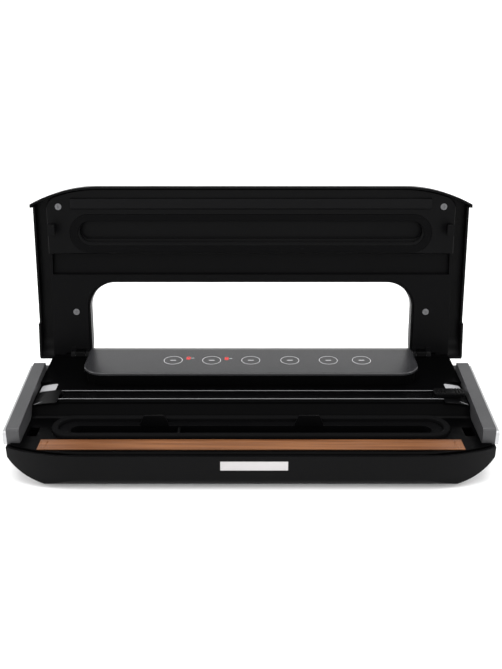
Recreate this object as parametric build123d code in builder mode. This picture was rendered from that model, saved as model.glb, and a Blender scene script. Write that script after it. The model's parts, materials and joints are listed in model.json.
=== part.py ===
from build123d import *
import os
from math import asin, cos, radians, sin, sqrt

os.makedirs("parts", exist_ok=True)

# Frame: x to the right, y to the rear, z up. The origin is the centre of the
# casing's flat underside. The lid is modelled closed and stored open.

# Driving dimensions, in millimetres.
FRONT_Y = -85.0
REAR_Y = 84.0
SIDE_X = 200.0  # half width at the front of the side rails
FLARE = 0.0227  # extra half width for each millimetre towards the rear
FLARE_Y = -65.5
CORNER_X = 140.0
CORNER_Y = 45.0
CORNER_R = 130.0
REAR_R = 20.0
WALL = 2.5
SPLIT_Z = 29.1  # rim of the lower casing
DECK_Z = 30.7  # front deck, around the drip tray
TOP_Z = 43.0  # raised deck, under the lid's arms
AXIS_Y = 78.0
AXIS_Z = 43.1
OPEN_ANGLE = 99.0
PIN_R = 2.5
RAIL_WIDTH = 10.7
TRIM_WIDTH = 3.0
RING_Y = -41.85  # middle of the gasket ring
RING_LENGTH = 336.0
RING_DEPTH = 35.1
PIT_Y = (-51.5, -37.2)
TAPE_Y = -69.3
LEFT_RIGHT = (("left", -1), ("right", 1))

HINGE = Axis((0, AXIS_Y, AXIS_Z), (-1, 0, 0))
KEY_XS = (-71.9, -36.4, -0.2, 35.9, 71.4, 102.1)
KEY_Y = 39.2


def save(piece, name, opened=False):
    """Label a finished piece and write it; lid pieces are turned open first."""
    shape = piece.part.rotate(HINGE, OPEN_ANGLE) if opened else piece.part
    shape.label = name
    export_step(shape, f"parts/{name}.step")


def block(x, y, z, mode=Mode.ADD):
    """A box between two limits along each axis."""
    middle = ((x[0] + x[1]) / 2, (y[0] + y[1]) / 2, (z[0] + z[1]) / 2)
    with Locations(middle):
        return Box(x[1] - x[0], y[1] - y[0], z[1] - z[0], mode=mode)


def rod(centre, radius, length, direction="z", mode=Mode.ADD):
    """A cylinder centred on a point, along x, y or z."""
    turn = {"x": (0, 90, 0), "y": (90, 0, 0), "z": (0, 0, 0)}[direction]
    with Locations(centre):
        return Cylinder(radius, length, rotation=turn, mode=mode)


def side_shape(x, points, radii=0):
    """A closed outline in y and z, on the plane at x."""
    with BuildSketch(Plane.YZ.offset(x)) as shape:
        with BuildLine():
            FilletPolyline(*points, radius=radii, close=True)
        make_face()
    return shape.sketch


def front_shape(y, points, radii=0):
    """A closed outline in x and z, on the plane at y, drawn seen from the front."""
    with BuildSketch(Plane.XZ.offset(-y)) as shape:
        with BuildLine():
            FilletPolyline(*points, radius=radii, close=True)
        make_face()
    return shape.sketch


def top_shape(z, points, radii=0):
    """A closed outline in x and y, on the plane at z."""
    with BuildSketch(Plane.XY.offset(z)) as shape:
        with BuildLine():
            FilletPolyline(*points, radius=radii, close=True)
        make_face()
    return shape.sketch


def stadium(z, length, width, y=RING_Y):
    """A slot-shaped outline around the gasket ring's middle."""
    with BuildSketch(Plane.XY.offset(z)) as shape:
        with Locations((0, y)):
            SlotOverall(length, width)
    return shape.sketch


def plan_outline(z, inset=0.0, extra=0.0, rear_r=REAR_R):
    """Plan view: straight front, swept corners, sides that widen to the rear."""
    radius = CORNER_R - inset
    half = SIDE_X + extra - inset
    turn = asin((half - CORNER_X) / radius)
    corner_y = CORNER_Y - radius * cos(turn)
    middle = (CORNER_X + radius * sin(turn / 2), CORNER_Y - radius * cos(turn / 2))
    rear_y = REAR_Y - inset
    rear_x = half + FLARE * (rear_y - corner_y)
    with BuildSketch(Plane.XY.offset(z)) as shape:
        with BuildLine():
            Line((0, FRONT_Y + inset), (CORNER_X, FRONT_Y + inset))
            ThreePointArc((CORNER_X, FRONT_Y + inset), middle, (half, corner_y))
            Polyline((half, corner_y), (rear_x, rear_y), (0, rear_y), (0, FRONT_Y + inset))
        make_face()
        mirror(about=Plane.YZ)
        rear_corners = shape.vertices().group_by(Axis.Y)[-1].sort_by(Axis.X)
        fillet([rear_corners[0], rear_corners[-1]], max(rear_r - inset, 1.0))
    return shape.sketch


def band(z, x, y, inset=0.0):
    """A strip between two distances from the middle that follows the side's flare."""
    grow_front = FLARE * (y[0] - FLARE_Y)
    grow_rear = FLARE * (y[1] - FLARE_Y)
    points = [
        (x[0] + grow_front + inset, y[0]),
        (x[1] + grow_front - inset, y[0]),
        (x[1] + grow_rear - inset, y[1]),
        (x[0] + grow_rear + inset, y[1]),
    ]
    return top_shape(z, points)


def wedge(z, half, y):
    """A plate as wide as twice half, with sides that follow the flare."""
    grow_front = FLARE * (y[0] - FLARE_Y)
    grow_rear = FLARE * (y[1] - FLARE_Y)
    points = [
        (-half - grow_front, y[0]),
        (half + grow_front, y[0]),
        (half + grow_rear, y[1]),
        (-half - grow_rear, y[1]),
    ]
    return top_shape(z, points)


def mirrored(piece):
    """The same piece on the left."""
    with BuildPart() as left:
        mirror(piece.part, about=Plane.YZ)
    return left


# ---------------------------------------------------------------------------
# Lower casing, feet and label
# ---------------------------------------------------------------------------
CASING_ROUND_X = 51.5
CASING_ROUND_Z = 32.0
CASING_EDGE_R = 8.0
FOOT_Z = 2.0
BOSS_R = 4.0
BOSS_HOLE_R = 1.3
BOSS_FOOT_Z = 2.0
SCREW_HEAD_R = 3.0
FRONT_BOSSES = [(x, -60.0) for x in (-150, 150)]
REAR_BOSSES = [(-151, 66.0), (-60, 12.0), (60, 12.0), (151, 66.0)]
GLAND_X = 120.0
GLAND_Z = 18.0
GLAND_R = 6.0
LABEL_X = (-24.7, 29.8)
LABEL_Z = (16.4, 24.7)
BUTTON_Y = (-59.0, -41.0)
BUTTON_Z = (30.2, 38.8)
FLOOR_Z = WALL
CATCH_Z = (23.0, 25.5)
CATCH_X = (176.5, 197.0)
CATCH_Y = (-56.5, -37.5)
CATCH_WINDOW_X = (180.3, 188.2)
SPRING_Y = -47.0
SPRING_Z = 24.25
SPRING_R = 2.2
POST_X = (160.0, 167.0)


def casing_body(inset):
    """Plan, front and side outlines of the casing, intersected."""
    round_x = CASING_ROUND_X - inset
    round_z = CASING_ROUND_Z - inset
    centre_x = SIDE_X + 3.5 - CASING_ROUND_X
    with BuildSketch(Plane.XZ.offset(-REAR_Y)) as front_view:
        with BuildLine():
            Line((0, inset), (centre_x, inset))
            EllipticalCenterArc(
                (centre_x, CASING_ROUND_Z), round_x, round_z, start_angle=270, arc_size=90
            )
            side_x = centre_x + round_x
            Polyline((side_x, CASING_ROUND_Z), (side_x, 50), (0, 50), (0, inset))
        make_face()
        mirror(about=Plane.YZ)
    front = FRONT_Y + inset
    rear = REAR_Y - inset
    corners = [(front, inset), (front, 50), (rear, 50), (rear, inset)]
    edge_r = CASING_EDGE_R - inset
    side_view = side_shape(-250, corners, [edge_r, 0, 0, edge_r])
    with BuildPart() as body:
        extrude(plan_outline(inset, inset), amount=SPLIT_Z - inset)
        extrude(front_view.sketch, amount=REAR_Y - FRONT_Y, mode=Mode.INTERSECT)
        extrude(side_view, amount=500, mode=Mode.INTERSECT)
    return body.part


with BuildPart() as lower_casing:
    add(casing_body(0))
    add(casing_body(WALL), mode=Mode.SUBTRACT)
    for x, y in FRONT_BOSSES + REAR_BOSSES:
        top = (DECK_Z if y < 0 else TOP_Z) - WALL
        rod((x, y, (BOSS_FOOT_Z + top) / 2), BOSS_R, top - BOSS_FOOT_Z)
        rod((x, y, top / 2), BOSS_HOLE_R, top, mode=Mode.SUBTRACT)
        rod((x, y, 0), SCREW_HEAD_R + 0.2, 3.0, mode=Mode.SUBTRACT)
    rod((GLAND_X, REAR_Y, GLAND_Z), GLAND_R, 20, "y", mode=Mode.SUBTRACT)
    block(LABEL_X, (FRONT_Y - 1, FRONT_Y + 0.3), LABEL_Z, mode=Mode.SUBTRACT)
save(lower_casing, "lower_casing")

# Posts that hold the latch springs and ribs that carry the catch plates.
with BuildPart() as latch_guides:
    for side in (-1, 1):
        rib = sorted((side * 189.0, side * 192.0))
        block(rib, (CATCH_Y[0] + 2, CATCH_Y[1] - 2), (0, CATCH_Z[0] - 0.3))
        block(sorted(side * x for x in POST_X), (SPRING_Y - 5, SPRING_Y + 5), (0, 26.5))
        bore = side * (POST_X[1] - 2.5)
        rod((bore, SPRING_Y, SPRING_Z), SPRING_R + 0.7, 5.2, "x", mode=Mode.SUBTRACT)
    add(casing_body(WALL), mode=Mode.INTERSECT)
save(latch_guides, "latch_guides")

with BuildPart() as rubber_feet:
    corner_feet = [(x, y, -FOOT_Z) for x in (-140, 140) for y in (-66, 66)]
    with Locations(*corner_feet, (0, 0, -FOOT_Z)):
        Cylinder(8, FOOT_Z, align=(Align.CENTER, Align.CENTER, Align.MIN))
    fillet(rubber_feet.edges().group_by(Axis.Z)[0], 0.8)
save(rubber_feet, "rubber_feet")

with BuildPart() as blank_label:
    block(LABEL_X, (FRONT_Y, FRONT_Y + 0.3), LABEL_Z)
save(blank_label, "blank_label")

with BuildPart() as base_screws:
    for x, y in FRONT_BOSSES + REAR_BOSSES:
        rod((x, y, 0.75), SCREW_HEAD_R, 1.5)
        rod((x, y, 5.5), BOSS_HOLE_R, 9.0)
save(base_screws, "base_screws")

with BuildPart() as cord_gland:
    rod((GLAND_X, REAR_Y - 1.25, GLAND_Z), GLAND_R, WALL, "y")
    rod((GLAND_X, REAR_Y + 2.0, GLAND_Z), GLAND_R + 1.5, 4.0, "y")
    rod((GLAND_X, REAR_Y - 5.0, GLAND_Z), GLAND_R + 1.5, 5.0, "y")
    rod((GLAND_X, REAR_Y, GLAND_Z), 3.4, 40, "y", mode=Mode.SUBTRACT)
    fillet(cord_gland.edges().group_by(Axis.Y)[-1].sort_by(Edge.length)[-1], 1.5)
save(cord_gland, "cord_gland")

# ---------------------------------------------------------------------------
# Top deck with its side rails
# ---------------------------------------------------------------------------
DECK_INSET = 3.2
SKIRT_Z = 26.7
DECK_HALF = SIDE_X - RAIL_WIDTH - 0.4
PANEL_HALF = 152.0
PANEL_BAY_X = 146.0
PANEL_BAY_Y = (19.0, 73.0)
CUTTER_Y = (-14.2, 2.7)
CUTTER_FLOOR_Z = 36.4
CUTTER_END_X = 181.4
SLOT_X = (178.5, 187.0)
SLOT_Y = (-55.0, -40.6)
GROOVE_Z = 29.2
LUG_X = (160.5, 169.5)
LUG_R = 5.2
LUG_ROOM = LUG_R + 0.6
LUG_BAY_X = (155.4, 174.6)

deck_outer = [
    (FRONT_Y + DECK_INSET, SKIRT_Z),
    (FRONT_Y + DECK_INSET, DECK_Z),
    (-24.0, DECK_Z),
    (-15.0, TOP_Z),
    (77.5, TOP_Z),
    (77.5, SPLIT_Z),
    (80.8, SPLIT_Z),
    (80.8, SKIRT_Z),
]
deck_inner = [
    (FRONT_Y + DECK_INSET + WALL, SKIRT_Z - 1),
    (FRONT_Y + DECK_INSET + WALL, DECK_Z - WALL),
    (-22.5, DECK_Z - WALL),
    (-13.5, TOP_Z - WALL),
    (75.0, TOP_Z - WALL),
    (75.0, SKIRT_Z - 1),
]
# The raised deck droops at both ends under the cutter.
DROOP = [(165.0, 43.6), (180.0, 42.6), (195.0, 38.9)]


def deck_plan(z, inset):
    """Plan of the deck: full width in front of the rails, then between them."""
    half = DECK_HALF - inset
    with BuildPart() as plan:
        extrude(plan_outline(z, DECK_INSET + inset), amount=60)
        for side in (-1, 1):
            outside = [(side * half, -66.2 + inset), (side * 230, -66.2 + inset), (side * 230, 90)]
            outside.append((side * (half + FLARE * (90 + 66.2)), 90))
            extrude(top_shape(z, outside), amount=60, mode=Mode.SUBTRACT)
    return plan.part


with BuildPart() as top_deck:
    extrude(side_shape(-220, deck_outer, [0, 1.5, 6, 8, 2, 0, 0, 0]), amount=440)
    add(deck_plan(0, 0), mode=Mode.INTERSECT)
    with BuildPart(mode=Mode.PRIVATE) as hollow:
        extrude(side_shape(-220, deck_inner), amount=440)
        add(deck_plan(0, WALL), mode=Mode.INTERSECT)
    add(hollow.part, mode=Mode.SUBTRACT)
    # Cutter channel, open to the top, with its own floor and walls.
    block((-188.5, 188.5), (CUTTER_Y[0] - WALL, CUTTER_Y[1] + WALL), (CUTTER_FLOOR_Z - WALL, TOP_Z - 1))
    block((-CUTTER_END_X, CUTTER_END_X), CUTTER_Y, (CUTTER_FLOOR_Z, TOP_Z + 5), mode=Mode.SUBTRACT)
    for side in (-1, 1):
        with BuildSketch(Plane.XZ.offset(24)) as droop:
            with BuildLine():
                ThreePointArc(*[(side * x, z) for x, z in DROOP])
                last_x, last_z = DROOP[-1]
                Polyline((side * last_x, last_z), (side * last_x, 50), (side * 165, 50), (side * 165, 43.6))
            make_face()
        extrude(droop.sketch, amount=-44, mode=Mode.SUBTRACT)
    # Latch slots, gasket groove and the opening that the drip tray hangs in.
    for side in (-1, 1):
        block(sorted((side * SLOT_X[0], side * SLOT_X[1])), SLOT_Y, (20, 50), mode=Mode.SUBTRACT)
    extrude(stadium(GROOVE_Z, RING_LENGTH + 0.6, RING_DEPTH + 0.6), amount=10, mode=Mode.SUBTRACT)
    extrude(stadium(20, 309, 18.6, (PIT_Y[0] + PIT_Y[1]) / 2), amount=20, mode=Mode.SUBTRACT)
    # Bay under the control panel.
    block((-PANEL_BAY_X, PANEL_BAY_X), PANEL_BAY_Y, (30, 50), mode=Mode.SUBTRACT)
    # Hinge lugs, with room beside them for the lid's lugs.
    for side in (-1, 1):
        bay = sorted((side * LUG_BAY_X[0], side * LUG_BAY_X[1]))
        lug = sorted((side * LUG_X[0], side * LUG_X[1]))
        middle = side * (LUG_X[0] + LUG_X[1]) / 2
        block(bay, (AXIS_Y - LUG_ROOM, 79), (AXIS_Z - LUG_ROOM, 50), mode=Mode.SUBTRACT)
        block(lug, (70, AXIS_Y), (34, TOP_Z - 1))
        rod((middle, AXIS_Y, AXIS_Z), LUG_R, LUG_X[1] - LUG_X[0], "x")
        rod((middle, AXIS_Y, AXIS_Z), PIN_R + 0.05, 20, "x", mode=Mode.SUBTRACT)
    # Holes for the screws that hold the deck from below.
    for x, y in FRONT_BOSSES + REAR_BOSSES:
        top = DECK_Z if y < 0 else TOP_Z
        rod((x, y, top - 3), BOSS_HOLE_R, 3, mode=Mode.SUBTRACT)
save(top_deck, "top_deck")

# Rails stand on the casing's rim and rise towards the rear.
rail_outer = [(-65.5, SPLIT_Z), (-65.5, 43), (46, 51), (46, 36), (72, 36), (72, SPLIT_Z)]
rail_inner = [(-63.3, SPLIT_Z - 1), (-63.3, 40.8), (43.8, 48.6)]
rail_inner += [(43.8, 33.8), (69.8, 33.8), (69.8, SPLIT_Z - 1)]

with BuildPart() as side_rail_right:
    extrude(side_shape(180, rail_outer, [0, 3, 2, 0, 2, 0]), amount=30)
    extrude(band(20, (SIDE_X - RAIL_WIDTH, SIDE_X), (-65.5, 72)), amount=40, mode=Mode.INTERSECT)
    with BuildPart(mode=Mode.PRIVATE) as rail_hollow:
        extrude(side_shape(180, rail_inner), amount=30)
        strip = band(20, (SIDE_X - RAIL_WIDTH, SIDE_X), (-65.5, 72), 2.2)
        extrude(strip, amount=40, mode=Mode.INTERSECT)
    add(rail_hollow.part, mode=Mode.SUBTRACT)
    block((196, 210), BUTTON_Y, BUTTON_Z, mode=Mode.SUBTRACT)
side_rail_left = mirrored(side_rail_right)

trim_points = [(-65.5, SPLIT_Z), (-65.5, 40), (45, 47.8), (45, SPLIT_Z)]
with BuildPart() as side_trim_right:
    extrude(side_shape(180, trim_points, [0, 3, 0, 0]), amount=40)
    extrude(band(20, (SIDE_X, SIDE_X + TRIM_WIDTH), (-65.5, 45)), amount=40, mode=Mode.INTERSECT)
    block((196, 210), BUTTON_Y, BUTTON_Z, mode=Mode.SUBTRACT)
side_trim_left = mirrored(side_trim_right)

save(side_rail_right, "side_rail_right")
save(side_rail_left, "side_rail_left")
save(side_trim_right, "side_trim_right")
save(side_trim_left, "side_trim_left")

# ---------------------------------------------------------------------------
# Vacuum chamber: gasket, drip tray and bag stops
# ---------------------------------------------------------------------------
RING_INNER = (325.0, 24.0)
PIT_HALF = 152.0
PIT_FLOOR_Z = 14.0

with BuildPart() as lower_gasket:
    extrude(stadium(GROOVE_Z, RING_LENGTH, RING_DEPTH), amount=4.5)
    extrude(stadium(GROOVE_Z, *RING_INNER), amount=4.5, mode=Mode.SUBTRACT)
    fillet(lower_gasket.edges().group_by(Axis.Z)[-1], 1.2)
save(lower_gasket, "lower_gasket")

with BuildPart() as drip_tray:
    extrude(stadium(GROOVE_Z, 324.4, 23.4), amount=1.4)
    pit_middle = (PIT_Y[0] + PIT_Y[1]) / 2
    extrude(stadium(PIT_FLOOR_Z, 308.0, 17.6, pit_middle), amount=GROOVE_Z - PIT_FLOOR_Z)
    extrude(stadium(PIT_FLOOR_Z + 1.6, 2 * PIT_HALF, 14.3, pit_middle), amount=30, mode=Mode.SUBTRACT)
    block((-62, -60), (-52, -36.8), (PIT_FLOOR_Z, GROOVE_Z))
    chamfer(drip_tray.edges().group_by(Axis.Z)[-1].group_by(Edge.length)[-1], 0.5)
save(drip_tray, "drip_tray")

STOP_Z = (GROOVE_Z + 1.4, 40.8)
for name, stop_x in (("bag_stop_left", -82.0), ("bag_stop_right", 49.2)):
    with BuildPart() as bag_stop:
        low, high = STOP_Z
        plate = [(-12, low), (-12, low + 2.4), (-8.75, high), (8.75, high), (12, low + 2.4), (12, low)]
        extrude(front_shape(-37.2, [(stop_x + x, z) for x, z in plate], [0, 1, 2, 2, 1, 0]), amount=1.4)
        block((stop_x - 10, stop_x + 10), (-37.2, -31.5), (low, low + 1.2))
        chamfer(bag_stop.edges().group_by(Axis.Y)[-1].group_by(Axis.Z)[-1], 0.6)
    save(bag_stop, name)

# ---------------------------------------------------------------------------
# Heat sealing strip at the front of the deck
# ---------------------------------------------------------------------------
with BuildPart() as heater_insulator:
    block((-171, 171), (TAPE_Y - 6.5, TAPE_Y + 6.5), (DECK_Z, DECK_Z + 0.3))
with BuildPart() as heating_wire:
    block((-168, 168), (TAPE_Y - 1.5, TAPE_Y + 1.5), (DECK_Z + 0.3, DECK_Z + 0.45))
with BuildPart() as sealing_tape:
    block((-173, 173), (TAPE_Y - 7.6, TAPE_Y + 7.6), (DECK_Z, DECK_Z + 0.65))
    block((-171, 171), (TAPE_Y - 6.5, TAPE_Y + 6.5), (DECK_Z, DECK_Z + 0.3), mode=Mode.SUBTRACT)
    block((-168, 168), (TAPE_Y - 1.5, TAPE_Y + 1.5), (DECK_Z, DECK_Z + 0.45), mode=Mode.SUBTRACT)
save(heater_insulator, "heater_insulator")
save(heating_wire, "heating_wire")
save(sealing_tape, "sealing_tape")

# ---------------------------------------------------------------------------
# Bag cutter: frame, hinged bar, slider and blade
# ---------------------------------------------------------------------------
BAR_AXIS_Y = -0.6
BAR_AXIS_Z = 41.2
BAR_HALF = 166.0
BAR_TOP_Z = 42.8
SLIT_Y = -9.5
PLATE_X = (168.0, 188.4)
PLATE_Y = (-21.5, 15.3)
SLIDER_X = (160.0, 186.3)
SLIDER_Z = (44.6, 48.6)


def droop_height(x):
    """Height of the drooping deck end at a distance from the middle."""
    (x0, z0), (x1, z1), (x2, z2) = DROOP
    first = z0 * (x - x1) * (x - x2) / ((x0 - x1) * (x0 - x2))
    second = z1 * (x - x0) * (x - x2) / ((x1 - x0) * (x1 - x2))
    third = z2 * (x - x0) * (x - x1) / ((x2 - x0) * (x2 - x1))
    return first + second + third


with BuildPart() as cutter_frame:
    block((-181, 181), (-14, 2.5), (CUTTER_FLOOR_Z, 43.5))
    block((-179.8, 179.8), (-12.7, 1.2), (CUTTER_FLOOR_Z + 1.2, 50), mode=Mode.SUBTRACT)
    block((-167, 167), (-12.7, -10.9), (CUTTER_FLOOR_Z, 39.4))
    for side in (-1, 1):
        ends = sorted((side * 166.4, side * 170.0))
        outer_end = sorted((side * 167.0, side * 190.0))
        block(outer_end, (-15, 3), (41.4, 50), mode=Mode.SUBTRACT)
        block(ends, (-2.6, 1.2), (CUTTER_FLOOR_Z, 42.6))
        rod((side * 168, BAR_AXIS_Y, BAR_AXIS_Z), 1.05, 6, "x", mode=Mode.SUBTRACT)
save(cutter_frame, "cutter_frame")

def drooping_plates(x_limits, y_limits, thickness):
    """A pair of thin plates that lie on the drooping ends of the deck."""
    x0, x1 = x_limits
    with BuildPart() as plates:
        for side in (-1, 1):
            low = [(side * x, droop_height(x) + 0.02) for x in (x0, (x0 + x1) / 2, x1)]
            high = [(x, z + thickness) for x, z in low]
            with BuildSketch(Plane.XZ.offset(-y_limits[1])) as plate:
                with BuildLine():
                    ThreePointArc(*low)
                    ThreePointArc(*high)
                    Line(low[0], high[0])
                    Line(low[2], high[2])
                make_face()
            extrude(plate.sketch, amount=y_limits[1] - y_limits[0])
        fillet(plates.edges().filter_by(Axis.Z), 1.5)
    return plates.part


with BuildPart() as cutter_end_plates:
    add(drooping_plates((174.0, PLATE_X[1]), (2.9, PLATE_Y[1]), 0.4))
save(cutter_end_plates, "cutter_end_plates")

with BuildPart() as cutter_end_caps:
    add(drooping_plates(PLATE_X, (PLATE_Y[0], 2.6), 0.5))
save(cutter_end_caps, "cutter_end_caps")

with BuildPart() as cutter_bar:
    block((-BAR_HALF, BAR_HALF), (-12.4, BAR_AXIS_Y), (39.7, BAR_TOP_Z))
    fillet(cutter_bar.edges().filter_by(Axis.X).group_by(Axis.Z)[-1].sort_by(Axis.Y)[0], 0.8)
    rod((0, BAR_AXIS_Y, BAR_AXIS_Z), 1.5, 2 * BAR_HALF, "x")
    rod((0, BAR_AXIS_Y, BAR_AXIS_Z), 1.0, 2 * BAR_HALF + 7, "x")
    block((-162, BAR_HALF + 1), (SLIT_Y - 0.6, SLIT_Y + 0.6), (39, 44), mode=Mode.SUBTRACT)
save(cutter_bar, "cutter_bar")

with BuildPart() as cutter_slider:
    block(SLIDER_X, (-13, -2.2), SLIDER_Z)
    fillet(cutter_slider.edges().filter_by(Axis.Z), 2.5)
    chamfer(cutter_slider.edges().group_by(Axis.Z)[-1], 0.8)
    # Relief that clears the end caps when the bar is lifted.
    wedge_low = (-4.6, SLIDER_Z[0] - 0.1)
    relief = [wedge_low, (-2.1, SLIDER_Z[0] - 0.1), (-2.1, SLIDER_Z[0] + 1.3)]
    extrude(side_shape(SLIDER_X[0] - 1, relief, [0, 0, 0]), amount=30, mode=Mode.SUBTRACT)
    for x in (163.4, 166.2, 169.0, 178.4, 181.2, 184.0):
        block((x - 0.5, x + 0.5), (-14, -1), (SLIDER_Z[1] - 0.7, SLIDER_Z[1] + 1), mode=Mode.SUBTRACT)
    block((161, 165.6), (-12.2, -3), (43.1, SLIDER_Z[0] + 0.5))
    block((162, 165), (SLIT_Y - 0.2, SLIT_Y + 0.2), (43, 46.6), mode=Mode.SUBTRACT)
save(cutter_slider, "cutter_slider")

with BuildPart() as cutter_blade:
    blade = [(162, 46.6), (165, 46.6), (165, 40.5), (163.5, 38.3), (162, 40.5)]
    extrude(front_shape(SLIT_Y + 0.2, blade), amount=0.4)
save(cutter_blade, "cutter_blade")

# ---------------------------------------------------------------------------
# Rear housing and control panel
# ---------------------------------------------------------------------------
PANEL_FRONT_Y = 11.6
PANEL_TOP_Z = 56.0
PANEL_REAR_R = 22.0
PANEL_CORNER_R = 20.0
HOUSING_HALF = 150.5
KEY_R = 8.9
LED_POINTS = [(-58.0, 43.6), (-22.6, 42.7)]
BOARD_Z = (46.0, 47.6)
BOARD_X = (-100.0, 122.0)
BOARD_Y = (28.0, 54.0)


def panel_section(inset, front_y, foot_z):
    """Side outline of the housing: flat top and a rear that curves down."""
    rear_y = REAR_Y - inset
    top_z = PANEL_TOP_Z - inset
    points = [(front_y, foot_z), (front_y, top_z), (rear_y, top_z), (rear_y, foot_z)]
    return side_shape(-200, points, [0, 0, PANEL_REAR_R - inset, 0])


def panel_plan(half, front_y, radius):
    """Plan of the panel, with its two front corners rounded."""
    points = [(-half, front_y), (half, front_y), (half, 100), (-half, 100)]
    return top_shape(20, points, [radius, radius, 0, 0])


with BuildPart() as rear_housing:
    extrude(panel_section(2.5, 13.0, SPLIT_Z), amount=400)
    extrude(panel_plan(HOUSING_HALF, 13.0, PANEL_CORNER_R - 1.4), amount=40, mode=Mode.INTERSECT)
    with BuildPart(mode=Mode.PRIVATE) as housing_hollow:
        extrude(panel_section(4.7, 15.2, 20), amount=400)
        extrude(panel_plan(HOUSING_HALF - 2.2, 15.2, PANEL_CORNER_R - 3.6), amount=40, mode=Mode.INTERSECT)
    add(housing_hollow.part, mode=Mode.SUBTRACT)
    block((-160, 160), (10, 77.5), (20, TOP_Z), mode=Mode.SUBTRACT)
    for x in (BOARD_X[0] + 4, BOARD_X[1] - 4):
        for y in (BOARD_Y[0] + 4, BOARD_Y[1] - 4):
            rod((x, y, (BOARD_Z[1] + 52) / 2), 2.5, 52 - BOARD_Z[1])
    with Locations(*[(x, y, 52) for x, y in LED_POINTS]):
        Cylinder(1.9, 6, mode=Mode.SUBTRACT)
save(rear_housing, "rear_housing")

with BuildPart() as control_panel:
    extrude(panel_section(0, PANEL_FRONT_Y, SPLIT_Z), amount=400)
    extrude(panel_section(2.5, PANEL_FRONT_Y - 5, 20), amount=400, mode=Mode.SUBTRACT)
    with BuildPart(mode=Mode.PRIVATE) as side_lips:
        extrude(panel_section(0, PANEL_FRONT_Y, SPLIT_Z), amount=400)
        extrude(panel_section(4.5, PANEL_FRONT_Y - 5, 20), amount=400, mode=Mode.SUBTRACT)
        block((-HOUSING_HALF - 0.2, HOUSING_HALF + 0.2), (-20, 90), (0, 60), mode=Mode.SUBTRACT)
    add(side_lips.part)
    extrude(panel_plan(PANEL_HALF + 0.5, PANEL_FRONT_Y, PANEL_CORNER_R), amount=40, mode=Mode.INTERSECT)
    fillet(control_panel.edges().filter_by(Plane.XY).group_by(Axis.Z)[-1].sort_by(Axis.Y)[0], 1.0)
    with Locations(*[(x, KEY_Y, PANEL_TOP_Z) for x in KEY_XS]):
        Cylinder(KEY_R + 0.1, 0.6, mode=Mode.SUBTRACT)
    with Locations(*[(x, y, PANEL_TOP_Z) for x, y in LED_POINTS]):
        Cylinder(1.1, 8, mode=Mode.SUBTRACT)
save(control_panel, "control_panel")

with BuildPart() as touch_keys:
    with Locations(*[(x, KEY_Y, PANEL_TOP_Z - 0.15) for x in KEY_XS]):
        Cylinder(KEY_R, 0.3)
save(touch_keys, "touch_keys")

with BuildPart() as led_lenses:
    with Locations(*[(x, y, PANEL_TOP_Z - 1.25) for x, y in LED_POINTS]):
        Cylinder(1.0, 2.5)
save(led_lenses, "led_lenses")

with BuildPart() as control_board:
    block(BOARD_X, BOARD_Y, BOARD_Z)
    with Locations(*[(x, 33.0, BOARD_Z[0] - 1.2) for x in (-60, 0, 60)]):
        Box(14, 8, 2.4)
save(control_board, "control_board")

with BuildPart() as led_indicators:
    with Locations(*[(x, y, (BOARD_Z[1] + PANEL_TOP_Z - 2.5) / 2) for x, y in LED_POINTS]):
        Cylinder(1.5, PANEL_TOP_Z - 2.5 - BOARD_Z[1])
save(led_indicators, "led_indicators")

# ---------------------------------------------------------------------------
# Lid: modelled closed, written open
# ---------------------------------------------------------------------------
LID_EXTRA = 2.5  # how far the lid's side stands out past the rails
LID_WALL = 2.0
LID_RIM_Z = 29.4
LID_FRONT_Z = 48.3
LID_CREST_Y = 6.0
LID_TOP_Z = 56.5
LID_REAR_R = 22.0
LID_CORNER_R = 5.0
WINDOW_X = 154.5
WINDOW_Y = 6.3
WINDOW_R = 25.0
ARM_Z = 44.4
RECESS_Y = (-22.6, -1.5)
RECESS_Z = 49.6
LINER_TOP_Z = 51.6
PLATE_Z = (34.6, 38.6)
PLATE_REAR_Y = -22.8
LINER_HALF = SIDE_X - RAIL_WIDTH - 0.5
REAR_SCREW = (168.0, 35.0)
FRONT_SCREW = (177.6, -66.4)
STRIP_Y = (-74.3, -64.2)
LID_LUGS = ((156.7, 160.1), (169.9, 174.2))
HOOK_X = (182.0, 185.0)
HOOK_Y = (-51.5, -41.5)
HOOK_TIP_Z = 19.5
BARB_X = 179.2
BARB_Z = 22.7


def lid_body(inset):
    """Outer shape of the lid, or its hollow when inset by the wall."""
    front, rear = FRONT_Y + inset, REAR_Y - inset
    foot = 24.0 if inset else LID_RIM_Z
    points = [
        (front, foot),
        (front, LID_FRONT_Z - inset),
        (LID_CREST_Y, LID_TOP_Z - inset),
        (rear, LID_TOP_Z - inset),
        (rear, foot),
    ]
    radii = [0, 8 - inset, 12, LID_REAR_R - inset, 0]
    with BuildPart() as body:
        extrude(side_shape(-220, points, radii), amount=440)
        extrude(plan_outline(20, inset, LID_EXTRA, LID_CORNER_R), amount=50, mode=Mode.INTERSECT)
    return body.part


def window_plan(z, grow):
    """Window between the lid's arms, open to the rear, grown all round."""
    half = WINDOW_X + grow
    front = WINDOW_Y - grow
    radius = WINDOW_R + grow
    return top_shape(z, [(-half, front), (half, front), (half, 100), (-half, 100)], [radius, radius, 0, 0])


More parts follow.
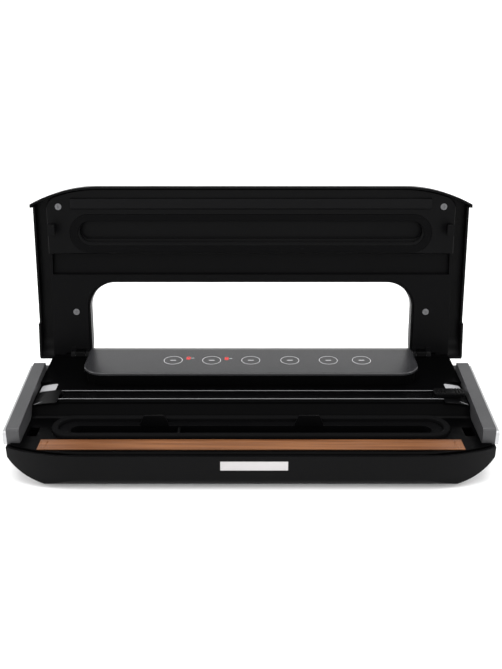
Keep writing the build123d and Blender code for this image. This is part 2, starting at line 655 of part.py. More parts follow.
with BuildPart() as lid_cover:
    add(lid_body(0))
    with BuildPart(mode=Mode.PRIVATE) as lid_hollow:
        add(lid_body(LID_WALL))
        extrude(window_plan(20, LID_WALL), amount=50, mode=Mode.SUBTRACT)
    add(lid_hollow.part, mode=Mode.SUBTRACT)
    extrude(window_plan(20, 0), amount=50, mode=Mode.SUBTRACT)
    block((-187, 187), (-66, 100), (20, 46), mode=Mode.SUBTRACT)
    rim = [(-66, 20), (-66, 40.6), (46.6, 48.6), (46.6, AXIS_Z + 1), (90, AXIS_Z + 1), (90, 20)]
    for side in (-1, 1):
        skirt = side_shape(187 if side > 0 else -230, rim, [0, 0, 2, 0, 0, 0])
        extrude(skirt, amount=43, mode=Mode.SUBTRACT)
        lug_middle = side * (LID_LUGS[0][0] + LID_LUGS[1][1]) / 2
        rod((lug_middle, AXIS_Y, AXIS_Z), LUG_R + 0.6, 18.4, "x", mode=Mode.SUBTRACT)
        rear_x, rear_y = REAR_SCREW
        rod((side * rear_x, rear_y, 51.0), 3.5, 9.2)
        rod((side * rear_x, rear_y, 49.0), BOSS_HOLE_R, 9.0, mode=Mode.SUBTRACT)
        front_x, front_y = FRONT_SCREW
        rod((side * front_x, front_y, 43.4), 3.5, 9.6)
        rod((side * front_x, front_y, 42.0), BOSS_HOLE_R, 9.0, mode=Mode.SUBTRACT)
save(lid_cover, "lid_cover", opened=True)

with BuildPart() as lid_liner:
    extrude(wedge(ARM_Z, LINER_HALF, (RECESS_Y[1], 77.8)), amount=2.0)
    extrude(wedge(RECESS_Z, LINER_HALF, (-25.0, RECESS_Y[1] + 2)), amount=2.0)
    extrude(wedge(ARM_Z, LINER_HALF, (RECESS_Y[1], RECESS_Y[1] + 2)), amount=LINER_TOP_Z - ARM_Z)
    with BuildPart(mode=Mode.PRIVATE) as side_walls:
        extrude(wedge(ARM_Z, LINER_HALF, (PLATE_REAR_Y + 0.1, 60)), amount=LINER_TOP_Z - ARM_Z)
        extrude(wedge(ARM_Z, LINER_HALF - 2, (-40, 70)), amount=10, mode=Mode.SUBTRACT)
    add(side_walls.part)
    extrude(window_plan(40, 2.2), amount=20, mode=Mode.SUBTRACT)
    for side in (-1, 1):
        for low, high in LID_LUGS:
            middle = side * (low + high) / 2
            rod((middle, AXIS_Y, AXIS_Z), LUG_R, high - low, "x")
            block((middle - (high - low) / 2, middle + (high - low) / 2), (70, 77.8), (AXIS_Z + 0.6, ARM_Z + 1))
        rod((side * (LUG_X[0] + LUG_X[1]) / 2, AXIS_Y, AXIS_Z), LUG_R + 0.5, 9.8, "x", mode=Mode.SUBTRACT)
        rod((side * (LUG_X[0] + LUG_X[1]) / 2, AXIS_Y, AXIS_Z), PIN_R, 30, "x", mode=Mode.SUBTRACT)
        x, y = REAR_SCREW
        rod((side * x, y, ARM_Z), 3.2, 2.4, mode=Mode.SUBTRACT)
        rod((side * x, y, ARM_Z), BOSS_HOLE_R, 6, mode=Mode.SUBTRACT)
save(lid_liner, "lid_liner", opened=True)

def plate_body(low, high, inset):
    """Pressure plate's outline: follows the lid's front, straight at the sides."""
    half = LINER_HALF - inset
    with BuildPart() as body:
        extrude(plan_outline(low, 2.4 + inset, LID_EXTRA), amount=high - low)
        block((-half, half), (-100, PLATE_REAR_Y - inset), (low - 1, high + 1), mode=Mode.INTERSECT)
        uprights = body.edges().filter_by(Axis.Z).group_by(Axis.X)
        fillet([uprights[0].sort_by(Axis.Y)[0], uprights[-1].sort_by(Axis.Y)[0]], 12 - inset)
    return body.part


with BuildPart() as pressure_plate:
    add(plate_body(*PLATE_Z, 0))
    chamfer(pressure_plate.edges().group_by(Axis.Z)[0], 0.8)
    with BuildPart(mode=Mode.PRIVATE) as plate_wall:
        add(plate_body(PLATE_Z[0] + 1, RECESS_Z, 0))
        add(plate_body(PLATE_Z[0], RECESS_Z, 2.2), mode=Mode.SUBTRACT)
        block((-200, 200), (-90, -60), (42, 60), mode=Mode.SUBTRACT)
        block((-200, 200), (-62, -26), (45.9, 60), mode=Mode.SUBTRACT)
    add(plate_wall.part)
    extrude(stadium(PLATE_Z[0] + 1, 323, 20, -44.5), amount=45 - PLATE_Z[0] - 1)
    extrude(stadium(PLATE_Z[0] + 1, 319, 16, -44.5), amount=43 - PLATE_Z[0] - 1, mode=Mode.SUBTRACT)
    extrude(stadium(PLATE_Z[0], 318, 20.5, -43.75), amount=3.4, mode=Mode.SUBTRACT)
    with BuildPart(mode=Mode.PRIVATE) as ring_groove:
        extrude(stadium(PLATE_Z[0], RING_LENGTH + 0.2, RING_DEPTH + 0.2), amount=2.4)
        extrude(stadium(PLATE_Z[0], 320.8, 22.8), amount=2.4, mode=Mode.SUBTRACT)
    add(ring_groove.part, mode=Mode.SUBTRACT)
    block((-166, 166), STRIP_Y, (PLATE_Z[0], PLATE_Z[0] + 2.4), mode=Mode.SUBTRACT)
    for side in (-1, 1):
        x, y = FRONT_SCREW
        rod((side * x, y, PLATE_Z[0]), SCREW_HEAD_R + 0.2, 3.2, mode=Mode.SUBTRACT)
        rod((side * x, y, PLATE_Z[0]), BOSS_HOLE_R, 12, mode=Mode.SUBTRACT)
save(pressure_plate, "pressure_plate", opened=True)

with BuildPart() as upper_gasket:
    extrude(stadium(34.0, RING_LENGTH, RING_DEPTH), amount=3.0)
    extrude(stadium(34.0, 321, 23), amount=3.0, mode=Mode.SUBTRACT)
    fillet(upper_gasket.edges().group_by(Axis.Z)[0], 0.5)
save(upper_gasket, "upper_gasket", opened=True)

with BuildPart() as press_strip:
    block((-166, 166), STRIP_Y, (31.8, PLATE_Z[0] + 2.4))
    fillet(press_strip.edges().filter_by(Axis.X).group_by(Axis.Z)[0], 1.5)
save(press_strip, "press_strip", opened=True)

for name, side in LEFT_RIGHT:
    with BuildPart() as latch_hook:
        hook = [
            (HOOK_X[1], PLATE_Z[0]),
            (HOOK_X[0], PLATE_Z[0]),
            (HOOK_X[0], BARB_Z),
            (BARB_X, BARB_Z),
            (BARB_X, BARB_Z - 0.8),
            (HOOK_X[0] + 0.4, HOOK_TIP_Z),
            (HOOK_X[1], HOOK_TIP_Z),
        ]
        outline = front_shape(HOOK_Y[1], [(side * x, z) for x, z in hook])
        extrude(outline, amount=HOOK_Y[1] - HOOK_Y[0])
        for y in (-49.0, -44.0):
            groove = sorted((side * (HOOK_X[1] - 0.6), side * (HOOK_X[1] + 1)))
            block(groove, (y - 0.8, y + 0.8), (HOOK_TIP_Z + 2, PLATE_Z[0] - 1), mode=Mode.SUBTRACT)
    save(latch_hook, f"latch_hook_{name}", opened=True)

with BuildPart() as lid_screws:
    for side in (-1, 1):
        x, y = REAR_SCREW
        rod((side * x, y, ARM_Z + 0.6), SCREW_HEAD_R, 1.2)
        rod((side * x, y, ARM_Z + 4.6), BOSS_HOLE_R, 7.0)
        x, y = FRONT_SCREW
        rod((side * x, y, PLATE_Z[0] + 0.8), SCREW_HEAD_R, 1.6)
        rod((side * x, y, PLATE_Z[0] + 6.0), BOSS_HOLE_R, 9.0)
    for side in (-1, 1):
        for (x, y), z in ((REAR_SCREW, ARM_Z), (FRONT_SCREW, PLATE_Z[0])):
            with Locations((side * x, y, z)):
                Box(3.4, 0.7, 1.6, mode=Mode.SUBTRACT)
                Box(0.7, 3.4, 1.6, mode=Mode.SUBTRACT)
save(lid_screws, "lid_screws", opened=True)

with BuildPart() as hinge_pins:
    for side in (-1, 1):
        rod((side * (LID_LUGS[0][0] + LID_LUGS[1][1]) / 2, AXIS_Y, AXIS_Z), PIN_R, 17.2, "x")
save(hinge_pins, "hinge_pins", opened=True)

# ---------------------------------------------------------------------------
# Release buttons, each in one piece with the plate that catches a hook
# ---------------------------------------------------------------------------
for name, side in LEFT_RIGHT:
    with BuildPart() as release_button:
        block(sorted(side * x for x in CATCH_X), CATCH_Y, CATCH_Z)
        window = sorted(side * x for x in CATCH_WINDOW_X)
        block(window, (-54, -39.5), (20, 30), mode=Mode.SUBTRACT)
        block(sorted((side * 194.8, side * 197.0)), (-55, -45), (CATCH_Z[0], 37.4))
        with BuildPart(mode=Mode.PRIVATE) as cap:
            block(sorted((side * 197.0, side * 204.6)), (-58.6, -41.4), (30.6, 38.4))
            outer_face = cap.faces().sort_by(Axis.X)[-1 if side > 0 else 0]
            fillet(outer_face.edges(), 1.8)
        add(cap.part)
    save(release_button, f"release_button_{name}")

    with BuildPart() as latch_spring:
        turns = Helix(2.0, 11.0, SPRING_R, center=(side * 165.3, SPRING_Y, SPRING_Z), direction=(side, 0, 0))
        with BuildSketch(Plane(turns @ 0, z_dir=turns % 0)):
            Circle(0.4)
        sweep(path=turns, is_frenet=True)
        block(sorted((side * 170, side * CATCH_X[0])), (-60, -30), (10, 11), mode=Mode.SUBTRACT)
    save(latch_spring, f"latch_spring_{name}")

# ---------------------------------------------------------------------------
# Inside the casing: pump, valve, hose, power supply and switch
# ---------------------------------------------------------------------------
MOTOR_Y = 40.0
MOTOR_Z = 19.0
MOTOR_R = 13.0
MOTOR_X = (-70.0, -16.0)
HEAD_X = (-16.0, 16.0)
VALVE_X = 34.0
HOSE_R = 2.5
NOZZLE_X = -30.0

with BuildPart() as pump_motor:
    rod((sum(MOTOR_X) / 2, MOTOR_Y, MOTOR_Z), MOTOR_R, MOTOR_X[1] - MOTOR_X[0], "x")
    fillet(pump_motor.edges().group_by(Axis.X)[0], 2)
    rod((MOTOR_X[0] - 2, MOTOR_Y, MOTOR_Z), 4, 4, "x")
save(pump_motor, "pump_motor")

with BuildPart() as motor_cradle:
    block((MOTOR_X[0] + 6, MOTOR_X[1] - 6), (MOTOR_Y - 16, MOTOR_Y + 16), (FLOOR_Z, MOTOR_Z - 4))
    rod((sum(MOTOR_X) / 2, MOTOR_Y, MOTOR_Z), MOTOR_R + 0.05, 80, "x", mode=Mode.SUBTRACT)
    block((MOTOR_X[0] + 14, MOTOR_X[1] - 14), (MOTOR_Y - 20, MOTOR_Y + 20), (FLOOR_Z + 2, 40), mode=Mode.SUBTRACT)
save(motor_cradle, "motor_cradle")

with BuildPart() as pump_head:
    block(HEAD_X, (MOTOR_Y - 14, MOTOR_Y + 14), (MOTOR_Z - 13, MOTOR_Z + 13))
    fillet(pump_head.edges().filter_by(Axis.X), 4)
    rod((HEAD_X[1] + 3, MOTOR_Y, MOTOR_Z + 6), 2.5, 6, "x")
    rod((0, MOTOR_Y - 17, MOTOR_Z), HOSE_R, 6, "y")
save(pump_head, "pump_head")

with BuildPart() as air_valve:
    block((VALVE_X - 8, VALVE_X + 8), (MOTOR_Y - 7, MOTOR_Y + 7), (FLOOR_Z, MOTOR_Z))
    rod((VALVE_X, MOTOR_Y, MOTOR_Z + 4), 6, 8)
    fillet(air_valve.edges().filter_by(GeomType.CIRCLE).group_by(Axis.Z)[-1], 0.8)
save(air_valve, "air_valve")

# The hose runs forward from the pump's nozzle to the drip tray's floor.
hose_points = [(0, MOTOR_Y - 20, MOTOR_Z), (0, 4, MOTOR_Z), (-14, -10, 12)]
hose_points += [(NOZZLE_X, -20, 9.5), (NOZZLE_X, -33, 13.6)]
with BuildPart() as vacuum_hose:
    with BuildLine() as hose_path:
        FilletPolyline(*hose_points, radius=5.5)
    with BuildSketch(Plane(hose_path.line @ 0, z_dir=hose_path.line % 0)):
        Circle(HOSE_R)
        Circle(HOSE_R - 0.9, mode=Mode.SUBTRACT)
    sweep(path=hose_path.line, transition=Transition.ROUND)
save(vacuum_hose, "vacuum_hose")

BOARD_FOOT = [(x, y) for x in (64, 134) for y in (30, 66)]
with BuildPart() as power_board:
    block((58, 140), (24, 72), (8, 9.6))
    with Locations(*[(x, y, (FLOOR_Z + 8) / 2) for x, y in BOARD_FOOT]):
        Cylinder(3, 8 - FLOOR_Z)
    with Locations((126, 40, 9.6), (126, 54, 9.6)):
        Cylinder(4, 14, align=(Align.CENTER, Align.CENTER, Align.MIN))
save(power_board, "power_board")

with BuildPart() as transformer:
    block((72, 104), (32, 60), (9.6, 31.6))
    chamfer(transformer.edges().filter_by(Axis.Z), 2)
    block((76, 100), (30, 62), (14, 27.6))
save(transformer, "transformer")

with BuildPart() as lid_switch:
    block((-150, -138), (24, 44), (TOP_Z - WALL - 10, TOP_Z - WALL))
    fillet(lid_switch.edges().filter_by(Axis.Z), 1)
    rod((-144, 34, TOP_Z - WALL - 11), 1.2, 3)
save(lid_switch, "lid_switch")
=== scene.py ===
import json
from math import cos, pi, radians, sin

import bmesh
import bpy
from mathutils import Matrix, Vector


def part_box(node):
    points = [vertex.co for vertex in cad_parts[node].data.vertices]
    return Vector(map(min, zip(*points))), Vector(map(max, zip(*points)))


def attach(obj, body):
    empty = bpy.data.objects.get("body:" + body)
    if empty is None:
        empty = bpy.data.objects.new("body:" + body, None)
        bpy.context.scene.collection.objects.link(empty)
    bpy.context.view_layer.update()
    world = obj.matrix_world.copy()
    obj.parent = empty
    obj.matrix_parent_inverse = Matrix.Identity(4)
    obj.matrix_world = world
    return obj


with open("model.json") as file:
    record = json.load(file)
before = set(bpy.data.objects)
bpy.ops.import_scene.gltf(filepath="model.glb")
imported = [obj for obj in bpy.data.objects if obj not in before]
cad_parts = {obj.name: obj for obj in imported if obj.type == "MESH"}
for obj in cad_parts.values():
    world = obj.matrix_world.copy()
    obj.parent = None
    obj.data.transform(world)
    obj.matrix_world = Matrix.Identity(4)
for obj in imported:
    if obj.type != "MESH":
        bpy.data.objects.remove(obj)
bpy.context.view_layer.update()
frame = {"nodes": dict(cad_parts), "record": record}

NODES = frame["nodes"]
MM = 0.001
FLOOR_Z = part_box("rubber_feet")[0][2]
PANEL_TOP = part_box("touch_keys")[1][2]
KEY_R = (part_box("touch_keys")[1][1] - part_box("touch_keys")[0][1]) / 2
LIFT = 0.06 * MM  # printed marks stand this far proud of the film
BLACK_SHINE = 0.06
BUTTON_SILVER = (0.42, 0.42, 0.43)
# Painted shade colour for the part of each button inside the casing
BUTTON_PAINTED_SHADE = (0.0012, 0.0012, 0.0014)
BUTTON_SPLIT = (0.1965, 0.1975)  # distance from the middle where the painted shade gives way to silver, in metres
KEY_X = (-71.9, -36.4, -0.2, 35.9, 71.4, 102.1)  # in millimetres, as are the next two
KEY_Y = 39.2
LED_POINTS = ((-58.0, 43.6), (-22.6, 42.7))
CAMERA_PLACE = (0, -0.6471, 0.3789)
CAMERA_TILT = 66.6  # degrees up from straight down
CAMERA_LENS = 44.13
CAMERA_SENSOR = 36.0


# --------------------------------------------------------------------------
# Materials
# --------------------------------------------------------------------------
def new_material(name, colour, rough, metallic=0.0):
    """A Principled material, with its node tree, shader and object coordinates."""
    material = bpy.data.materials.new(name)
    material.use_nodes = True
    tree = material.node_tree
    shader = tree.nodes["Principled BSDF"]
    shader.inputs["Base Color"].default_value = (*colour, 1)
    shader.inputs["Roughness"].default_value = rough
    shader.inputs["Metallic"].default_value = metallic
    coords = tree.nodes.new("ShaderNodeTexCoord")
    return material, tree, shader, coords


def add_noise(tree, coords, scale, detail=3.0, stretch=None):
    """Noise over the object's own coordinates, stretched along an axis if asked."""
    noise = tree.nodes.new("ShaderNodeTexNoise")
    noise.inputs["Scale"].default_value = scale
    noise.inputs["Detail"].default_value = detail
    source = coords.outputs["Object"]
    if stretch:
        mapping = tree.nodes.new("ShaderNodeMapping")
        mapping.inputs["Scale"].default_value = stretch
        tree.links.new(source, mapping.inputs["Vector"])
        source = mapping.outputs["Vector"]
    tree.links.new(source, noise.inputs["Vector"])
    return noise.outputs["Fac"]


def vary_colour(tree, shader, fac, dark, light, low=0.3, high=0.7):
    """Run the base colour between two tones by a mask."""
    ramp = tree.nodes.new("ShaderNodeValToRGB")
    ramp.color_ramp.elements[0].position = low
    ramp.color_ramp.elements[1].position = high
    ramp.color_ramp.elements[0].color = (*dark, 1)
    ramp.color_ramp.elements[1].color = (*light, 1)
    tree.links.new(fac, ramp.inputs["Fac"])
    tree.links.new(ramp.outputs["Color"], shader.inputs["Base Color"])


def vary_rough(tree, shader, fac, low, high):
    """Run the roughness between two values by a mask."""
    spread = tree.nodes.new("ShaderNodeMapRange")
    spread.inputs["To Min"].default_value = low
    spread.inputs["To Max"].default_value = high
    tree.links.new(fac, spread.inputs["Value"])
    tree.links.new(spread.outputs["Result"], shader.inputs["Roughness"])


def add_bump(tree, shader, fac, strength, distance, edge=0.4 * MM):
    """Surface grain over softened edges."""
    bevel = tree.nodes.new("ShaderNodeBevel")
    bevel.samples = 6
    bevel.inputs["Radius"].default_value = edge
    bump = tree.nodes.new("ShaderNodeBump")
    bump.inputs["Strength"].default_value = strength
    bump.inputs["Distance"].default_value = distance
    tree.links.new(fac, bump.inputs["Height"])
    tree.links.new(bevel.outputs["Normal"], bump.inputs["Normal"])
    tree.links.new(bump.outputs["Normal"], shader.inputs["Normal"])


def plastic(name, colour, rough, grain=2600.0, bump=0.25, spread=0.12, edge=0.4 * MM, shine=0.3):
    """Moulded plastic: fine spark-eroded grain and a faint drift of tone and gloss."""
    material, tree, shader, coords = new_material(name, colour, rough)
    shader.inputs["Specular IOR Level"].default_value = shine
    drift = add_noise(tree, coords, 22.0, 4.0)
    fine = add_noise(tree, coords, grain, 2.0)
    dark = tuple(c * (1 - spread) for c in colour)
    light = tuple(c * (1 + spread) for c in colour)
    vary_colour(tree, shader, drift, dark, light)
    vary_rough(tree, shader, drift, rough - 0.05, rough + 0.07)
    add_bump(tree, shader, fine, bump, 0.03 * MM, edge)
    return material


def metal(name, colour, rough, stretch=(1, 1, 30), edge=0.15 * MM):
    """Drawn or turned metal with fine lines."""
    material, tree, shader, coords = new_material(name, colour, rough, 1.0)
    lines = add_noise(tree, coords, 900.0, 3.0, stretch)
    vary_rough(tree, shader, lines, rough - 0.08, rough + 0.1)
    add_bump(tree, shader, lines, 0.15, 0.02 * MM, edge)
    return material


def foam(name, colour):
    """Closed-cell foam: small dark pores in a soft surface."""
    material, tree, shader, coords = new_material(name, colour, 0.85)
    cells = tree.nodes.new("ShaderNodeTexVoronoi")
    cells.inputs["Scale"].default_value = 1500.0
    tree.links.new(coords.outputs["Object"], cells.inputs["Vector"])
    dark = tuple(c * 0.45 for c in colour)
    vary_colour(tree, shader, cells.outputs["Distance"], dark, colour, 0.05, 0.5)
    add_bump(tree, shader, cells.outputs["Distance"], 0.6, 0.15 * MM)
    shader.inputs["Specular IOR Level"].default_value = 0.05
    return material


def rubber(name, colour):
    """Dense rubber with a dull bloom."""
    material, tree, shader, coords = new_material(name, colour, 0.6)
    shader.inputs["Specular IOR Level"].default_value = 0.08
    bloom = add_noise(tree, coords, 60.0, 5.0)
    vary_colour(tree, shader, bloom, colour, tuple(c * 1.6 for c in colour))
    vary_rough(tree, shader, bloom, 0.5, 0.75)
    add_bump(tree, shader, add_noise(tree, coords, 1800.0), 0.2, 0.03 * MM)
    return material


def coated_cloth(name, dark, light):
    """Coated glass cloth: a fine square weave under long brown streaks."""
    material, tree, shader, coords = new_material(name, light, 0.35)
    streaks = add_noise(tree, coords, 120.0, 6.0, (0.10, 3.0, 1.0))
    vary_colour(tree, shader, streaks, dark, light, 0.34, 0.66)
    weave = tree.nodes.new("ShaderNodeTexWave")
    weave.inputs["Scale"].default_value = 900.0
    weave.inputs["Distortion"].default_value = 0.6
    cross = tree.nodes.new("ShaderNodeTexWave")
    cross.bands_direction = "Y"
    cross.inputs["Scale"].default_value = 900.0
    cross.inputs["Distortion"].default_value = 0.6
    both = tree.nodes.new("ShaderNodeMath")
    both.operation = "MULTIPLY"
    for wave, socket in ((weave, 0), (cross, 1)):
        tree.links.new(coords.outputs["Object"], wave.inputs["Vector"])
        tree.links.new(wave.outputs["Fac"], both.inputs[socket])
    vary_rough(tree, shader, streaks, 0.28, 0.48)
    add_bump(tree, shader, both.outputs["Value"], 0.3, 0.05 * MM, 0.1 * MM)
    return material


def circuit(name):
    """Green laminate with lighter tracks."""
    material, tree, shader, coords = new_material(name, (0.03, 0.16, 0.06), 0.35)
    cells = tree.nodes.new("ShaderNodeTexVoronoi")
    cells.distance = "MANHATTAN"
    cells.feature = "DISTANCE_TO_EDGE"
    cells.inputs["Scale"].default_value = 160.0
    tree.links.new(coords.outputs["Object"], cells.inputs["Vector"])
    track = (0.06, 0.3, 0.12)
    laminate = (0.02, 0.13, 0.05)
    vary_colour(tree, shader, cells.outputs["Distance"], track, laminate, 0.02, 0.08)
    add_bump(tree, shader, cells.outputs["Distance"], 0.2, 0.05 * MM)
    return material


def glow(name, colour, strength):
    """A lit lens: clear plastic over a small lamp."""
    material, tree, shader, coords = new_material(name, colour, 0.2)
    shader.inputs["Emission Color"].default_value = (*colour, 1)
    shader.inputs["Emission Strength"].default_value = strength
    add_bump(tree, shader, add_noise(tree, coords, 800.0), 0.1, 0.02 * MM, 0.1 * MM)
    return material


def button_plastic(name):
    """Silver outside, with painted shade: black and almost without reflection where the button's
    inner end sits in the casing.
    """
    material, tree, shader, coords = new_material(name, BUTTON_SILVER, 0.34)
    split = tree.nodes.new("ShaderNodeSeparateXYZ")
    tree.links.new(coords.outputs["Object"], split.inputs["Vector"])
    reach = tree.nodes.new("ShaderNodeMath")
    reach.operation = "ABSOLUTE"
    tree.links.new(split.outputs["X"], reach.inputs[0])
    # painted shade: black inside the split, silver outside it
    vary_colour(tree, shader, reach.outputs["Value"], BUTTON_PAINTED_SHADE, BUTTON_SILVER, *BUTTON_SPLIT)
    # the reflection fades out over the painted shade too
    shine = tree.nodes.new("ShaderNodeMapRange")
    shine.inputs["From Min"].default_value = BUTTON_SPLIT[0]
    shine.inputs["From Max"].default_value = BUTTON_SPLIT[1]
    shine.inputs["To Min"].default_value = 0.02
    shine.inputs["To Max"].default_value = 0.3
    tree.links.new(reach.outputs["Value"], shine.inputs["Value"])
    tree.links.new(shine.outputs["Result"], shader.inputs["Specular IOR Level"])
    add_bump(tree, shader, add_noise(tree, coords, 2600.0, 2.0), 0.2, 0.03 * MM)
    return material


BLACK = plastic("black_satin", (0.0016, 0.0016, 0.0018), 0.34, shine=BLACK_SHINE)
SLOT_MATERIALS = {
    "black_plastic": BLACK,
    "foot_rubber": rubber("foot_rubber_soft", (0.006, 0.006, 0.0065)),
    "gasket_foam": foam("gasket_cells", (0.0022, 0.0022, 0.0024)),
    "press_rubber": rubber("press_rubber_dense", (0.0015, 0.0015, 0.0017)),
    "rail_grey": plastic("rail_satin", (0.045, 0.045, 0.047), 0.32),
    "silver_trim": metal("trim_silver", (0.45, 0.45, 0.46), 0.34, (30, 1, 30)),
    "light_grey": plastic("plate_grey", (0.30, 0.30, 0.31), 0.36, spread=0.05),
    "steel": metal("bright_steel", (0.72, 0.72, 0.74), 0.25),
    "insulator": coated_cloth("insulator_cloth", (0.35, 0.27, 0.15), (0.5, 0.4, 0.24)),
    "sealing_tape": coated_cloth("tape_cloth", (0.10, 0.033, 0.009), (0.20, 0.078, 0.026)),
    "panel_grey": plastic(
        "panel_satin", (0.016, 0.016, 0.0175), 0.24, 3200.0, 0.06, 0.04, 0.6 * MM, 0.4
    ),
    "red_lens": glow("lens_red", (0.60, 0.02, 0.015), 0.45),
    "label_white": plastic("label_film", (0.46, 0.445, 0.445), 0.5, 1500.0, 0.05, 0.02, 0.1 * MM),
    "circuit_board": circuit("board_laminate"),
    "iron_core": metal("core_iron", (0.24, 0.23, 0.22), 0.5, (1, 40, 1)),
    "motor_steel": metal("motor_can", (0.5, 0.5, 0.5), 0.35, (40, 1, 1)),
    "pump_plastic": plastic("pump_nylon", (0.3, 0.3, 0.31), 0.5),
    "hose_rubber": rubber("hose_silicone", (0.35, 0.35, 0.35)),
}
NODE_MATERIALS = {
    "top_deck": plastic("deck_satin", (0.0008, 0.0008, 0.0009), 0.30, shine=0.025),
    "lid_liner": plastic("liner_satin", (0.0014, 0.0014, 0.0016), 0.36, shine=0.05),
    "pressure_plate": plastic("plate_satin", (0.0016, 0.0016, 0.0018), 0.34, shine=0.06),
    "cutter_bar": plastic("bar_gloss", (0.0012, 0.0012, 0.0014), 0.20, bump=0.08, shine=0.12),
    "rear_housing": plastic("housing_satin", (0.0008, 0.0008, 0.0009), 0.4, shine=0.03),
    "lid_screws": metal("screw_steel", (0.13, 0.13, 0.135), 0.3, (30, 30, 1)),
    "release_button_left": button_plastic("button_painted_shade_left"),
    "release_button_right": button_plastic("button_painted_shade_right"),
}
for entry in frame["record"]["subparts"]:
    node = NODES[entry["node"]]
    chosen = NODE_MATERIALS.get(entry["node"], SLOT_MATERIALS[entry["material_slot"]])
    node.data.materials.clear()
    node.data.materials.append(chosen)


# --------------------------------------------------------------------------
# Pieces that only the look needs
# --------------------------------------------------------------------------
def mesh_object(name, bm, material, body):
    """Turn a bmesh into a smooth piece that rides a body."""
    mesh = bpy.data.meshes.new(name)
    bm.to_mesh(mesh)
    bm.free()
    mesh.materials.append(material)
    piece = bpy.data.objects.new(name, mesh)
    bpy.context.scene.collection.objects.link(piece)
    for face in mesh.polygons:
        face.use_smooth = True
    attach(piece, body)
    return piece


def add_band(bm, points, width, height, normal=Vector((0, 0, 1)), closed=False):
    """A thin raised strip with a softened section that follows points."""
    rings = []
    count = len(points)
    for i, point in enumerate(points):
        ahead = points[(i + 1) % count] if closed or i < count - 1 else point
        behind = points[i - 1] if closed or i > 0 else point
        along = (ahead - behind).normalized()
        across = along.cross(normal).normalized()
        section = ((-0.5, 0.0), (-0.42, 0.85), (-0.25, 1.0), (0.25, 1.0), (0.42, 0.85), (0.5, 0.0))
        ring = [point + across * (a * width) + normal * (b * height) for a, b in section]
        rings.append([bm.verts.new(corner) for corner in ring])
    last = count if closed else count - 1
    for i in range(last):
        here, there = rings[i], rings[(i + 1) % count]
        for j in range(len(here)):
            k = (j + 1) % len(here)
            bm.faces.new((here[j], here[k], there[k], there[j]))
    if not closed:
        bm.faces.new(rings[0])
        bm.faces.new(reversed(rings[-1]))
    bmesh.ops.recalc_face_normals(bm, faces=bm.faces)


def circle_points(centre, radius, steps=64):
    """Points of a level circle."""
    turns = [2 * pi * i / steps for i in range(steps)]
    return [centre + Vector((radius * cos(a), radius * sin(a), 0)) for a in turns]


KEY_CENTRES = [Vector((x * MM, KEY_Y * MM, PANEL_TOP)) for x in KEY_X]
LED_CENTRES = [Vector((x * MM, y * MM, PANEL_TOP)) for x, y in LED_POINTS]
PRINT = plastic("white_print", (0.62, 0.62, 0.63), 0.5, 1500.0, 0.05, 0.03, 0.05 * MM)


def key_marks():
    """White outline of each key, with one short bar inside it."""
    for number, centre in enumerate(KEY_CENTRES, 1):
        bm = bmesh.new()
        add_band(bm, circle_points(centre, KEY_R - 0.5 * MM), 0.42 * MM, LIFT, closed=True)
        bar = [centre + Vector((x * MM, 0, 0)) for x in (-2.6, -1.3, 0, 1.3, 2.6)]
        add_band(bm, bar, 0.9 * MM, LIFT)
        mesh_object(f"key_mark_{number}", bm, PRINT, "base")


def lamp_marks():
    """Short white line beside each lamp."""
    bm = bmesh.new()
    for centre in LED_CENTRES:
        line = [centre + Vector((x * MM, 0.2 * MM, 0)) for x in (2.4, 3.8, 5.2)]
        add_band(bm, line, 0.6 * MM, LIFT)
    mesh_object("lamp_marks", bm, PRINT, "base")


def lamp_signs():
    """Red lit sign beside each lamp: two small rings, one above the other."""
    for number, centre in enumerate(LED_CENTRES, 1):
        bm = bmesh.new()
        for shift in (-1.3, 1.5):
            spot = centre + Vector((0, shift * MM, 0))
            add_band(bm, circle_points(spot, 1.5 * MM, 24), 0.7 * MM, LIFT, closed=True)
        mesh_object(f"lamp_sign_{number}", bm, SLOT_MATERIALS["red_lens"], "base")


def cutter_highlights():
    """Painted highlights: pale lines along the front and rear edges of the cutter that droop with its
    ends.
    """
    low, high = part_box("cutter_frame")
    cap_low, cap_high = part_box("cutter_end_caps")
    end_x = cap_high[0] - 0.5 * MM
    start_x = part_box("cutter_bar")[1][0] - 4 * MM
    drop = high[2] - cap_low[2] - 0.7 * MM
    # Painted edge highlights, front and rear, each with its near and far y, droop and width
    lines = (
        ("front", low[1] + 0.6 * MM, cap_low[1] + 1.0 * MM, 1.0, 0.42),
        ("rear", high[1] - 0.6 * MM, cap_high[1] + 0.8 * MM, 0.9, 0.30),
    )
    for name, near_y, far_y, fall, width in lines:
        bm = bmesh.new()
        points = []
        for step in range(-14, 15):
            side = -1 if step < 0 else 1
            reach = abs(step) / 14
            past = max(0.0, (reach - 0.5) * 2)
            x = min(reach * 2, 1.0) * start_x + past * (end_x - start_x)
            y = near_y + (far_y - near_y) * past ** 1.5
            z = high[2] + 0.05 * MM - drop * past ** 2 * fall
            points.append(Vector((side * x, y, z)))
        add_band(bm, points, width * MM, 0.3 * MM)
        # each line is a painted highlight, built as a raised pale strip
        mesh_object(f"cutter_highlight_{name}", bm, SLOT_MATERIALS["light_grey"], "base")


def tape_folds():
    """Small pressed folds near both ends of the sealing tape."""
    low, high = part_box("sealing_tape")
    deep = high[1] - low[1]
    for name, side in (("left", -1), ("right", 1)):
        bm = bmesh.new()
        for shift, lean in ((3.0, 2.2), (5.2, -1.4), (8.5, 3.0)):
            x = side * (high[0] - shift * MM)
            points = []
            for t in (0, 0.25, 0.5, 0.75, 1):
                y = low[1] + deep * (0.12 + 0.72 * t)
                points.append(Vector((x + side * lean * MM * t, y, high[2] - 0.02 * MM)))
            add_band(bm, points, 0.8 * MM, 0.14 * MM)
        mesh_object(f"tape_fold_{name}", bm, SLOT_MATERIALS["sealing_tape"], "base")


lamp_signs()
tape_folds()
cutter_highlights()
key_marks()
lamp_marks()


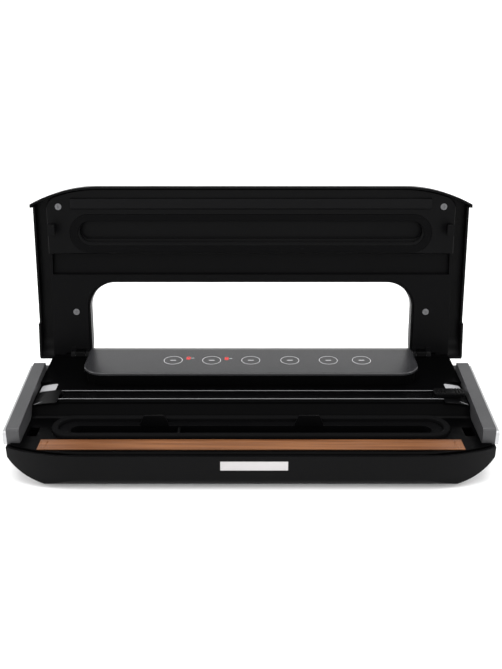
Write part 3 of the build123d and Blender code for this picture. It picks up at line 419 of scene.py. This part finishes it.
# --------------------------------------------------------------------------
# Floor, light and camera
# --------------------------------------------------------------------------
def stage_floor():
    """Pale floor that curves up far behind."""
    bm = bmesh.new()
    profile = [(-3.0, 0.0), (1.6, 0.0), (2.2, 0.1), (2.6, 0.5), (2.8, 1.4), (2.8, 3.0)]
    rows = [[bm.verts.new((x, y, FLOOR_Z + z)) for y, z in profile] for x in (-4.0, 4.0)]
    for i in range(len(profile) - 1):
        bm.faces.new((rows[0][i], rows[1][i], rows[1][i + 1], rows[0][i + 1]))
    mesh = bpy.data.meshes.new("studio_floor")
    bm.to_mesh(mesh)
    bm.free()
    floor = bpy.data.objects.new("studio_floor", mesh)
    bpy.context.scene.collection.objects.link(floor)
    material, tree, shader, coords = new_material("floor_paper", (0.93, 0.93, 0.93), 0.9)
    vary_rough(tree, shader, add_noise(tree, coords, 8.0), 0.85, 0.95)
    mesh.materials.append(material)
    for face in mesh.polygons:
        face.use_smooth = True


def area_light(name, place, target, size, power):
    """A soft square light that faces a point."""
    data = bpy.data.lights.new(name, "AREA")
    data.shape = "RECTANGLE"
    data.size, data.size_y = size
    data.energy = power
    lamp = bpy.data.objects.new(name, data)
    lamp.location = place
    lamp.rotation_euler = (Vector(target) - Vector(place)).to_track_quat("-Z", "Y").to_euler()
    bpy.context.scene.collection.objects.link(lamp)


def studio():
    """White surroundings, a large top light, a front fill and two side lights."""
    world = bpy.data.worlds.new("studio_white")
    world.use_nodes = True
    world.node_tree.nodes["Background"].inputs["Color"].default_value = (1, 1, 1, 1)
    world.node_tree.nodes["Background"].inputs["Strength"].default_value = 1.0
    bpy.context.scene.world = world
    bpy.context.scene.view_settings.view_transform = "Standard"
    area_light("top_light", (0, 0.1, 1.4), (0, 0, 0), (1.4, 0.9), 16)
    area_light("front_fill", (0, -1.5, 0.8), (0, 0, 0.05), (1.6, 0.8), 8)
    area_light("left_light", (-1.3, -0.3, 0.6), (0, 0, 0.05), (0.5, 0.9), 6)
    area_light("right_light", (1.3, -0.3, 0.6), (0, 0, 0.05), (0.5, 0.9), 6)


def camera():
    """Slightly raised view from straight in front."""
    data = bpy.data.cameras.new("photo_camera")
    data.sensor_fit = "VERTICAL"
    data.sensor_height = CAMERA_SENSOR
    data.lens = CAMERA_LENS
    data.clip_start = 0.01
    view = bpy.data.objects.new("photo_camera", data)
    view.location = CAMERA_PLACE
    view.rotation_euler = (radians(CAMERA_TILT), 0, 0)
    bpy.context.scene.collection.objects.link(view)
    bpy.context.scene.camera = view


stage_floor()
studio()
camera()
